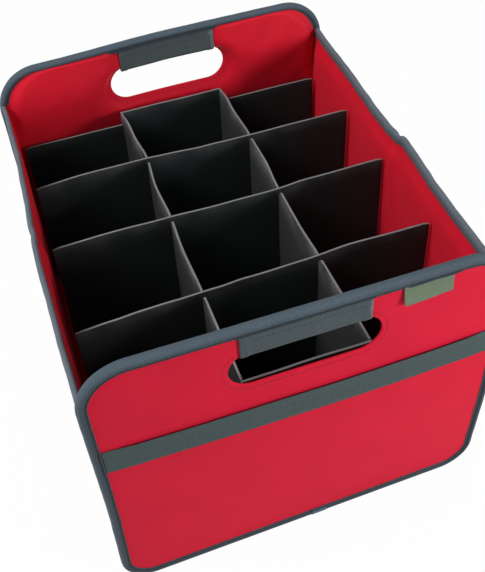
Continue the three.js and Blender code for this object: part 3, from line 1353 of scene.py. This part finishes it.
        def place(across: float, along: float) -> Point:
            """Returns where a point of the sheet lies."""
            x = mixed(low.x, high.x, across) - shift
            z = mixed(foot, top, along)
            curl = (1.0 - along) ** 1.4
            stand = 0.75 * MM + curl * (0.9 + 2.0 * (1.0 - across) ** 2 + 0.3 * math.sin(5 * across)) * MM
            z -= 0.5 * MM * waver(x, 0.0, 20 * MM, 6.0)
            return self.put(x + 0.5 * MM * (1.0 - along), stand, z)

        flat = (high.x - low.x, high.z - low.z)
        piece = shape_sheet("front_tab", (38, 18), place, flat)
        thicken(piece, 1.0 * MM, 0.0)
        round_edges(piece, 0.35 * MM, 3)
        dress(piece, [self.finishes.label], ["front_label"])

    def build(self) -> None:
        """Builds the whole end."""
        self.make_board()
        self.make_cloth(Face.OUTER)
        self.make_cloth(Face.INNER)
        self.make_binding()
        self.make_lap()
        self.make_wrap()
        if self.end is End.FRONT:
            self.make_band()
            self.make_label()
        self.sew_binding()
        self.sew_hole()


@dataclass
class Body:
    """The sides and base: a strip of cloth outside, a strip of lining inside and boards between."""

    finishes: Finishes
    seams: Seams
    radius: float = 26 * MM
    cloth_thickness: float = 0.8 * MM
    lining_thickness: float = 0.6 * MM
    lining_inset: float = 3.9 * MM
    board_thickness: float = 2.5 * MM
    grip: float = 2 * MM
    board_drop: float = 20 * MM
    slim: float = 0.56
    crease: float = -7 * MM
    rise_from: float = 22 * MM
    rise_over: float = 215 * MM
    layer_gap: float = 0.3 * MM
    tape_half: float = 3.95 * MM
    tape_reach: float = 9.8 * MM
    pinch_width: float = 1.6 * MM
    pinch_squeeze: float = 0.35
    pinch_dip: float = 1.3 * MM
    seam_side: float = 3.4 * MM
    seam_down: float = 7.2 * MM
    seam_end: float = 3 * MM
    left_bow: Curve = (
        (-0.180, 0.0), (-0.157, 0.7), (-0.129, 1.6), (-0.084, 2.4), (-0.036, 3.1), (0.000, 2.2),
        (0.038, 0.4), (0.058, -0.2), (0.100, -1.3), (0.150, -0.8), (0.180, 0.0),
    )
    right_bow: Curve = (
        (-0.180, -1.2), (-0.147, -3.4), (-0.112, -3.1), (-0.074, -2.4), (-0.055, -1.4), (-0.034, 0.2),
        (-0.012, 0.9), (-0.004, -1.9), (0.011, -3.4), (0.035, -3.9), (0.059, -2.8), (0.098, -1.7),
        (0.150, -1.6), (0.180, -1.2),
    )

    def __post_init__(self) -> None:
        """Reads the body's size from the frame."""
        low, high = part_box("body_outer_cloth")
        self.half = high.x
        self.top = high.z
        self.length = high.y - low.y
        side = self.top - self.radius
        turn = (math.pi / 2 * self.radius, self.radius)
        base = 2 * (self.half - self.radius)
        runs = ((side, 0.0), turn, (base, 0.0), turn, (side, 0.0))
        self.route = Route((-self.half, self.top), -math.pi / 2, runs)
        self.tapes = {wall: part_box(wall.named("top_binding")) for wall in Wall}

    def bow(self, wall: Wall, y: float) -> float:
        """Returns how far the top of a wall stands outwards of straight."""
        points = self.left_bow if wall is Wall.LEFT else self.right_bow
        return curve_through(points, y) * MM

    def rise(self, z: float) -> float:
        """Returns how freely a wall bows at a height, from 0 at its foot to 1."""
        return eased((z - self.rise_from) / self.rise_over)

    def outwards(self, wall: Wall, y: float, z: float, face: Face) -> float:
        """Returns how far a wall's cloth stands outwards of its plain place.

        Args:
            wall: which wall.
            y: along the box.
            z: up.
            face: the outer cloth or the lining.

        Returns:
            The distance in metres.
        """
        rise = self.rise(z)
        ends = eased((self.length / 2 - abs(y)) / (14 * MM))
        stand = self.bow(wall, y) * rise
        fold = hump(y - self.crease, 5 * MM) * rise
        seed = 4.0 * wall.value
        if face is Face.OUTER:
            stand -= 0.5 * MM * fold
            return stand + ends * rise * 0.5 * MM * waver(y, z, 60 * MM, seed)
        near = hump(y - self.crease - 0.12 * (z - self.top), 20 * MM) * rise
        slack = 1.2 * waver(y, z, 55 * MM, seed + 1)
        pleat = 1.7 * near * math.sin((y - self.crease + 0.25 * (self.top - z)) / (4.6 * MM))
        slip = ends * (max(0.0, 0.5 + slack) * rise + 0.5 * fold - min(0.0, -0.4 - pleat) * near) * MM
        gripped = eased((z - self.top + 24 * MM) / (15 * MM))
        return stand - slip * (1.0 - gripped) + self.grip * gripped

    def make_layer(self, face: Face) -> None:
        """Makes the outer cloth or the lining, one strip down one side and up the other.

        Args:
            face: which of the two.
        """
        outer = face is Face.OUTER
        inset = 0.0 if outer else self.lining_inset

        def place(across: float, along: float) -> Point:
            """Returns where a point of the sheet lies."""
            share = across if outer else 1.0 - across
            y = (share - 0.5) * self.length
            x, z = self.route.at(along, inset)
            wall = Wall.LEFT if x < 0 else Wall.RIGHT
            stand = self.outwards(wall, y, z, face) if z > self.rise_from else 0.0
            pinch = hump(y - self.crease, 3.4 * MM) * eased((z - self.top + 14 * MM) / (14 * MM))
            return x + wall.value * stand, y, z - 5.5 * MM * pinch

        name = "body_cloth" if outer else "body_inner_lining"
        flat = (self.length, self.route.length)
        piece = shape_sheet(name, (150, 190), place, flat)
        thicken(piece, self.cloth_thickness if outer else self.lining_thickness)
        node = "body_outer_cloth" if outer else "body_lining"
        material = self.finishes.cloth if outer else self.finishes.lining
        dress(piece, [material], [node])

    def make_board(self, wall: Wall, half: str) -> None:
        """Makes a hidden board, bent with its wall.

        Args:
            wall: the wall.
            half: its front or rear half.
        """
        node = wall.named(f"board_{half}")
        low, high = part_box(node)
        middle = (low.x + high.x) / 2

        def place(across: float, along: float) -> Point:
            """Returns where a point of the sheet lies."""
            y = mixed(low.y, high.y, across)
            z = mixed(low.z, high.z - self.board_drop, along)
            return middle + wall.value * self.bow(wall, y) * self.rise(z), y, z

        piece = shape_sheet(wall.named(f"stiffener_{half}"), (36, 24), place, (0.17, 0.21))
        thicken(piece, self.board_thickness - self.layer_gap, 0.0)
        dress(piece, [self.finishes.board], [node])

    def section(self) -> list[tuple[float, float]]:
        """Lays out the side tape's section.

        Returns:
            Its points, outwards from the wall's middle and down from its top.
        """
        outside = [
            (2.75, 8.9), (3.2, 9.05), (3.5, 8.6), (3.56, 7.9), (3.36, 7.2), (3.5, 6.4),
            (3.8, 5.3), (3.95, 4.1), (3.8, 2.8), (3.4, 1.6), (2.6, 0.6), (1.4, 0.12),
        ]
        inside = [(-across, down) for across, down in reversed(outside)]
        back = [(-2.5, 7.6), (-2.5, 2.6), (-1.7, 1.5), (1.7, 1.5), (2.5, 2.6), (2.5, 7.6)]
        points = outside + [(0.0, 0.0)] + inside + back
        return [(across * MM, down * MM) for across, down in points + points[:1]]

    def taped_point(self, wall: Wall, y: float, across: float, down: float) -> Point:
        """Places a point of a side tape.

        Args:
            wall: which wall.
            y: along the box.
            across: outwards from the wall's middle.
            down: below the wall's top.

        Returns:
            The point in the frame.
        """
        low, high = self.tapes[wall]
        middle = abs(low.x + high.x) / 2
        pinch = hump(y - self.crease, self.pinch_width)
        seed = 7.0 * wall.value
        half = self.tape_half
        slim = self.slim - 0.1 * y / self.length
        across = half - (half - across) * slim
        across = mixed(across, half * (1.0 - slim), self.pinch_squeeze * pinch)
        across += 0.3 * MM * waver(y, across, 13 * MM, seed)
        down += self.pinch_dip * pinch * (1.0 - down / self.tape_reach)
        z = high.z - down + 0.3 * MM * waver(y, 0.0, 24 * MM, seed + 1)
        stand = self.outwards(wall, y, self.top, Face.OUTER)
        return wall.value * (middle + stand + across), y, z

    def make_tape(self, wall: Wall) -> None:
        """Makes the tape folded over the top of a wall, pinched in where the wall folds.

        Args:
            wall: the wall.
        """
        section = self.section()
        last = len(section) - 1

        def place(across: float, along: float) -> Point:
            """Returns where a point of the sheet lies."""
            y = (across - 0.5) * self.length
            return self.taped_point(wall, y, *section[round(along * last)])

        wide = sum(math.dist(a, b) for a, b in zip(section, section[1:]))
        piece = shape_sheet(wall.named("edge_tape"), (300, last), place, (self.length, wide))
        map_strip(piece, section, section.index((0.0, 0.0)))
        pick(piece)
        bpy.ops.object.mode_set(mode="EDIT")
        bpy.ops.mesh.select_all(action="DESELECT")
        bpy.ops.mesh.select_mode(type="EDGE")
        bpy.ops.mesh.select_non_manifold()
        bpy.ops.mesh.edge_face_add()
        bpy.ops.mesh.select_all(action="SELECT")
        bpy.ops.mesh.normals_make_consistent(inside=False)
        bpy.ops.mesh.select_mode(type="VERT")
        bpy.ops.object.mode_set(mode="OBJECT")
        bpy.ops.object.shade_smooth_by_angle(angle=math.radians(60))
        dress(piece, [self.finishes.side_tape], [wall.named("top_binding")])

    def sew_tape(self, wall: Wall) -> None:
        """Sews a side tape down on both faces.

        Args:
            wall: the wall that it is on.
        """
        row: list[Stitch] = []
        sewn = self.length - 2 * self.seam_end
        for sign in (-1.0, 1.0):
            up = Vector((sign * wall.value, 0.0, 0.0))

            def where(share: float, sign: float = sign) -> Vector:
                """Returns a point of the seam."""
                y = (share - 0.5) * sewn
                return Vector(self.taped_point(wall, y, sign * self.seam_side, self.seam_down))

            row += self.seams.along_path(where, up, sewn)
        name = wall.named("tape_stitches")
        self.seams.sew(name, row, self.finishes.dark_thread, Slot.TAPE)

    def build(self) -> None:
        """Builds the sides and base."""
        self.make_layer(Face.OUTER)
        self.make_layer(Face.INNER)
        for wall in Wall:
            for half in ("front", "rear"):
                self.make_board(wall, half)
            self.make_tape(wall)
            self.sew_tape(wall)
        for half in ("front", "rear"):
            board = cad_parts[f"base_board_{half}"]
            board.material_slots[0].material = self.finishes.board


@dataclass
class Divider:
    """The loose divider: five cross panels and two long ones, slotted together."""

    finishes: Finishes
    thickness: float = 1.9 * MM
    slot_half: float = 1.5 * MM
    corner: float = 16.5 * MM
    side_step: float = 14 * MM
    end_drop: float = 4.6 * MM
    long_left: Curve = (
        (-0.177, 4.0), (-0.132, 2.0), (-0.088, 1.85), (-0.042, 0.2), (0.004, 1.6), (0.045, -0.1),
        (0.087, 2.5), (0.130, -0.6), (0.172, -2.1),
    )
    long_right: Curve = (
        (-0.177, 6.0), (-0.135, 2.8), (-0.085, 1.95), (-0.044, 0.4), (0.002, 0.6), (0.045, 2.6),
        (0.085, 2.0), (0.130, 0.3), (0.172, 0.7),
    )
    cross_bows: tuple[Curve, ...] = (
        ((-0.148, 0.0), (-0.043, -1.2), (0.006, -0.4), (0.056, -0.6), (0.148, 0.0)),
        (
            (-0.145, -4.9), (-0.118, -3.1), (-0.095, -1.8), (-0.071, -1.0), (-0.035, 0.0), (-0.010, 1.9),
            (0.041, 2.6), (0.080, 5.2), (0.132, 3.9),
        ),
        ((-0.148, 2.8), (-0.109, 4.3), (-0.032, 3.9), (0.048, 2.9), (0.076, 5.2), (0.133, 5.6)),
        (
            (-0.146, -3.4), (-0.105, 0.0), (-0.022, -0.1), (0.006, -2.4), (0.034, -3.4), (0.093, -4.0),
            (0.148, -3.4),
        ),
        ((-0.148, -3.0), (0.0, -3.2), (0.148, -3.0)),
    )

    def __post_init__(self) -> None:
        """Reads the divider's size from the frame."""
        low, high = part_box("divider_cross_3")
        self.foot = low.z
        self.top = high.z
        self.half = high.x
        self.rows = []
        for number in range(1, 6):
            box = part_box(f"divider_cross_{number}")
            self.rows.append((box[0].y + box[1].y) / 2)
        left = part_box("divider_long_left")
        self.column = abs(left[0].x + left[1].x) / 2

    def long_x(self, side: Wall, y: float) -> float:
        """Returns where a long panel's top runs."""
        points = self.long_left if side is Wall.LEFT else self.long_right
        return side.value * self.column + curve_through(points, y) * MM

    def cross_y(self, number: int, x: float) -> float:
        """Returns where a cross panel's top runs."""
        return self.rows[number] + curve_through(self.cross_bows[number], x) * MM

    def make_panel(
        self,
        name: str,
        node: str,
        columns: list[float],
        slots: list[float],
        from_top: bool,
        top_at: Callable[[float], float],
        lay: Callable[[float, float], Point],
        cover: bpy.types.Material,
    ) -> None:
        """Makes one slotted panel of covered board.

        Args:
            name: the piece's name.
            node: the CAD node that it replaces.
            columns: the places of its upright cuts, in rising order.
            slots: the middles of its slots.
            from_top: whether they are open at the top.
            top_at: gives the top's height at a place along it.
            lay: puts a place along the panel and a height where they lie.
            cover: the finish of its faces, with a painted sheen near the top.
        """
        middle = (self.foot + self.top) / 2
        low_rows = [self.foot + step * 4.5 * MM for step in range(5)]
        rows = low_rows + [mixed(low_rows[-1], middle, step / 5) for step in range(1, 6)]
        rows += [mixed(middle, self.top, step / 9) for step in range(1, 10)]
        last = len(columns) - 1

        def place(across: float, along: float) -> Point:
            """Returns where a point of the sheet lies."""
            at = columns[round(across * last)]
            level = rows[round(along * (len(rows) - 1))]
            if level > middle:
                level = mixed(middle, top_at(at), (level - middle) / (self.top - middle))
            return lay(at, level)

        flat = (columns[-1] - columns[0], self.top - self.foot)
        piece = shape_sheet(name, (last, len(rows) - 1), place, flat)
        pick(piece)
        bpy.ops.object.mode_set(mode="EDIT")
        bpy.ops.mesh.select_all(action="DESELECT")
        mesh = bmesh.from_edit_mesh(piece.data)
        uv = mesh.loops.layers.uv.active
        for polygon in mesh.faces:
            across = sum(loop[uv].uv.x for loop in polygon.loops) / len(polygon.loops) / flat[0]
            along = sum(loop[uv].uv.y for loop in polygon.loops) / len(polygon.loops) / flat[1]
            at = sum(columns[int(across * last + step)] for step in (0, 1)) / 2
            in_slot = any(abs(at - slot) < self.slot_half for slot in slots)
            upper = rows[int(along * (len(rows) - 1))] >= middle - HAIR
            polygon.select_set(in_slot and upper == from_top)
        bmesh.update_edit_mesh(piece.data)
        bpy.ops.mesh.delete(type="FACE")
        bpy.ops.mesh.select_all(action="DESELECT")
        bpy.ops.object.mode_set(mode="OBJECT")
        # The faces get the cover with its painted sheen, and the rim gets the painted edge highlight.
        piece.data.materials.append(cover)
        piece.data.materials.append(self.finishes.edge_highlight)
        thicken(piece, self.thickness, 0.0, 1)
        round_edges(piece, 0.35 * MM)
        indices = [polygon.material_index for polygon in piece.data.polygons]
        dress(piece, [cover, self.finishes.edge_highlight], [node])
        piece.data.polygons.foreach_set("material_index", indices)

    def cuts(self, ends: tuple[float, float], marks: Sequence[float], step: float) -> list[float]:
        """Spaces upright cuts along a panel, with some on given marks.

        Args:
            ends: where the panel starts and ends.
            marks: places that need a cut.
            step: the widest space between cuts.

        Returns:
            The places in rising order.
        """
        fixed = sorted([*ends, *(mark for mark in marks if ends[0] < mark < ends[1])])
        places = [fixed[0]]
        for start, end in zip(fixed, fixed[1:]):
            count = max(1, math.ceil((end - start) / step))
            places += [mixed(start, end, number / count) for number in range(1, count + 1)]
        return places

    def make_cross(self, number: int) -> None:
        """Makes a cross panel; the ones at both ends are lower beside the long panels.

        Args:
            number: which one, from 0 at the front.
        """
        y = self.rows[number]
        left = self.long_x(Wall.LEFT, y)
        right = self.long_x(Wall.RIGHT, y)
        slotted = number in (1, 2, 3)
        node = f"divider_cross_{number + 1}"
        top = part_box(node)[1].z
        marks = []
        for at in (left, right):
            marks += [at - self.slot_half, at + self.slot_half]
        edge = self.thickness / 2
        if not slotted:
            marks += [left - edge - 0.4 * MM, left - edge, right + edge, right + edge + 0.4 * MM]

        def top_at(x: float) -> float:
            """Returns the height of the panel's top."""
            between = left - edge - 0.1 * MM < x < right + edge + 0.1 * MM
            soft = 0.4 * MM * waver(x, number, 40 * MM, 5.0)
            sag = 1.0 * MM * math.sin(math.pi * min(max((x - left) / (right - left), 0.0), 1.0))
            corner = 1.2 * MM * hump(self.half - abs(x), 2.5 * MM)
            if not slotted:
                return top - (0.0 if between else self.side_step) + soft - corner
            return top + soft - sag - corner

        def lay(x: float, z: float) -> Point:
            """Puts a point of the panel where it lies."""
            raised = (z - self.foot) / (self.top - self.foot)
            shift = (self.cross_y(number, x) - y) * mixed(0.35, 1.0, eased(raised))
            over = z - self.foot
            pull = 0.0
            if over < self.corner:
                pull = self.corner - math.sqrt(self.corner**2 - (self.corner - over) ** 2)
            limit = self.half - 40 * MM
            if abs(x) > limit:
                share = (abs(x) - limit) / (self.half - limit)
                x = math.copysign(limit + share * (self.half - limit - pull), x)
            return x, y + shift + 0.35 * MM * waver(x, z, 34 * MM, number + 20), z

        ends = (-self.half, self.half)
        columns = self.cuts(ends, marks, 5 * MM)
        slots = [left, right] if slotted else []
        name = f"cross_panel_{number + 1}"
        cover = self.finishes.cover
        self.make_panel(name, node, columns, slots, False, top_at, lay, cover)

    def make_long(self, side: Wall) -> None:
        """Makes a long panel, whose top corners are rounded off beside each crossing.

        Args:
            side: the side that it is on.
        """
        word = side.name.lower()
        node = f"divider_long_{word}"
        low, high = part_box(node)
        crossings = [self.cross_y(number, self.long_x(side, self.rows[number])) for number in (1, 2, 3)]
        gap = 1.6 * MM
        slots = [crossing - gap / 2 for crossing in crossings]
        marks = []
        for slot in slots:
            marks += [slot - self.slot_half, slot + self.slot_half]
            marks += [slot - self.slot_half - step * MM for step in (0.6, 1.5, 3.0, 5.0)]
            marks += [slot + self.slot_half + step * MM for step in (0.6, 1.5, 3.0)]

        def top_at(y: float) -> float:
            """Returns the height of the panel's top."""
            drop = 0.0
            for slot in slots:
                front = (slot - self.slot_half - y, 6 * MM, 5.5 * MM)
                rear = (y - slot - self.slot_half, 4 * MM, 2.0 * MM)
                for past, reach, depth in (front, rear):
                    if -HAIR <= past < reach:
                        drop += depth * (1.0 - max(past, 0.0) / reach) ** 2.2
            drop += self.end_drop * (1.0 - eased((high.y - abs(y)) / (26 * MM)))
            return high.z - drop + 0.4 * MM * waver(y, side.value, 45 * MM, 8.0)

        def lay(y: float, z: float) -> Point:
            """Puts a point of the panel where it lies."""
            raised = (z - self.foot) / (self.top - self.foot)
            shift = self.long_x(side, y) - side.value * self.column
            x = side.value * self.column + shift * mixed(0.6, 1.0, raised)
            number = 0 if y < 0.0 else len(self.rows) - 1
            moved = (self.cross_y(number, x) - self.rows[number]) * mixed(0.35, 1.0, eased(raised))
            y += moved * eased((abs(y) - high.y + 30 * MM) / (30 * MM))
            return x + 0.4 * MM * waver(y, z, 36 * MM, 30.0 + side.value), y, z

        columns = self.cuts((low.y, high.y), marks, 5 * MM)
        name = f"long_panel_{word}"
        self.make_panel(name, node, columns, slots, True, top_at, lay, self.finishes.long_cover_with_brighter_sheen)

    def build(self) -> None:
        """Builds the divider."""
        for number in range(len(self.rows)):
            self.make_cross(number)
        for side in Wall:
            self.make_long(side)


def seen_directly(tree: bpy.types.NodeTree) -> Socket:
    """Tells a look at the surface from the light that falls on it.

    Args:
        tree: the nodes of the material or the world.

    Returns:
        1 where the camera, a reflection or a look through something meets it, and 0 elsewhere.
    """
    path = tree.nodes.new("ShaderNodeLightPath")
    total = path.outputs["Is Camera Ray"]
    for kind in ("Is Glossy Ray", "Is Transmission Ray"):
        add = tree.nodes.new("ShaderNodeMath")
        add.operation = "ADD"
        add.use_clamp = True
        tree.links.new(total, add.inputs[0])
        tree.links.new(path.outputs[kind], add.inputs[1])
        total = add.outputs[0]
    return total


@dataclass(frozen=True)
class Lamp:
    """A square, soft lamp.

    Attributes:
        name: its name.
        place: where it hangs.
        size: its width and height.
        power: its power in watts.
    """

    name: str
    place: Point
    size: float
    power: float


@dataclass
class Studio:
    """A pale floor, soft lamps and the camera."""

    lens: float = 54.5217
    camera_place: Point = (-0.1357, -0.5321, 0.6973)
    camera_angles: tuple[float, float, float] = (43.027, 3.266, -18.941)
    floor_size: float = 12.0
    floor_drop: float = 0.2 * MM
    floor_white: float = 0.98
    ambient: float = 0.28
    aim: Point = (0.0, 0.0, 0.15)
    lamps: tuple[Lamp, ...] = (
        Lamp("key lamp", (-1.15, -0.2, 1.6), 0.8, 29.5),
        Lamp("front lamp", (0.78, -0.8, 0.43), 0.35, 8.5),
    )

    def add_floor(self) -> None:
        """Adds the floor."""
        bpy.ops.object.select_all(action="DESELECT")
        bpy.ops.mesh.primitive_plane_add(size=self.floor_size, location=(0.0, 0.0, -self.floor_drop))
        floor = bpy.context.object
        floor.name = "floor"
        recipe = Recipe("pale floor")
        recipe.connect(recipe.shader.inputs["Base Color"], (0.5, 0.5, 0.5, 1.0))
        recipe.surface(0.9, 0.0, 0.5, 0.1)
        white = recipe.tree.nodes.new("ShaderNodeEmission")
        share = recipe.math("MULTIPLY", seen_directly(recipe.tree), self.floor_white)
        mix = recipe.tree.nodes.new("ShaderNodeMixShader")
        recipe.connect(mix.inputs[0], share)
        recipe.tree.links.new(recipe.shader.outputs[0], mix.inputs[1])
        recipe.tree.links.new(white.outputs[0], mix.inputs[2])
        recipe.tree.links.new(mix.outputs[0], recipe.tree.nodes["Material Output"].inputs["Surface"])
        floor.data.materials.append(recipe.material)

    def add_world(self) -> None:
        """Adds even light all round, which the camera sees as white."""
        world = bpy.data.worlds.new("studio")
        world.use_nodes = True
        tree = world.node_tree
        background = tree.nodes["Background"]
        background.inputs["Color"].default_value = (1.0, 1.0, 1.0, 1.0)
        mix = tree.nodes.new("ShaderNodeMapRange")
        tree.links.new(seen_directly(tree), mix.inputs["Value"])
        mix.inputs["To Min"].default_value = self.ambient
        mix.inputs["To Max"].default_value = 1.0
        tree.links.new(mix.outputs[0], background.inputs["Strength"])
        bpy.context.scene.world = world

    def add_lamp(self, lamp: Lamp) -> None:
        """Adds a soft lamp that shines at the box.

        Args:
            lamp: the lamp.
        """
        light = bpy.data.lights.new(lamp.name, "AREA")
        light.shape = "SQUARE"
        light.size = lamp.size
        light.energy = lamp.power
        holder = bpy.data.objects.new(lamp.name, light)
        holder.location = lamp.place
        aim = Vector(self.aim) - Vector(lamp.place)
        holder.rotation_euler = aim.to_track_quat("-Z", "Y").to_euler()
        bpy.context.scene.collection.objects.link(holder)

    def add_camera(self) -> None:
        """Adds the camera where the photographer stood."""
        camera = bpy.data.cameras.new("camera")
        camera.lens = self.lens
        camera.sensor_width = 36.0
        camera.clip_start = 0.01
        holder = bpy.data.objects.new("camera", camera)
        holder.location = self.camera_place
        holder.rotation_euler = [math.radians(angle) for angle in self.camera_angles]
        bpy.context.scene.collection.objects.link(holder)
        bpy.context.scene.camera = holder

    def build(self) -> None:
        """Sets up the studio."""
        self.add_camera()
        self.add_floor()
        self.add_world()
        for lamp in self.lamps:
            self.add_lamp(lamp)
        bpy.context.scene.view_settings.view_transform = "Standard"


def main() -> None:
    """Builds the box and its studio."""
    logging.basicConfig(level=logging.INFO, format="%(message)s")
    Studio().build()
    finishes = Finishes(divider_top=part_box("divider_cross_3")[1].z)
    seams = Seams()
    for end in End:
        EndPanel(end, finishes, seams).build()
    Body(finishes, seams).build()
    Divider(finishes).build()


if __name__ == "__main__":
    main()
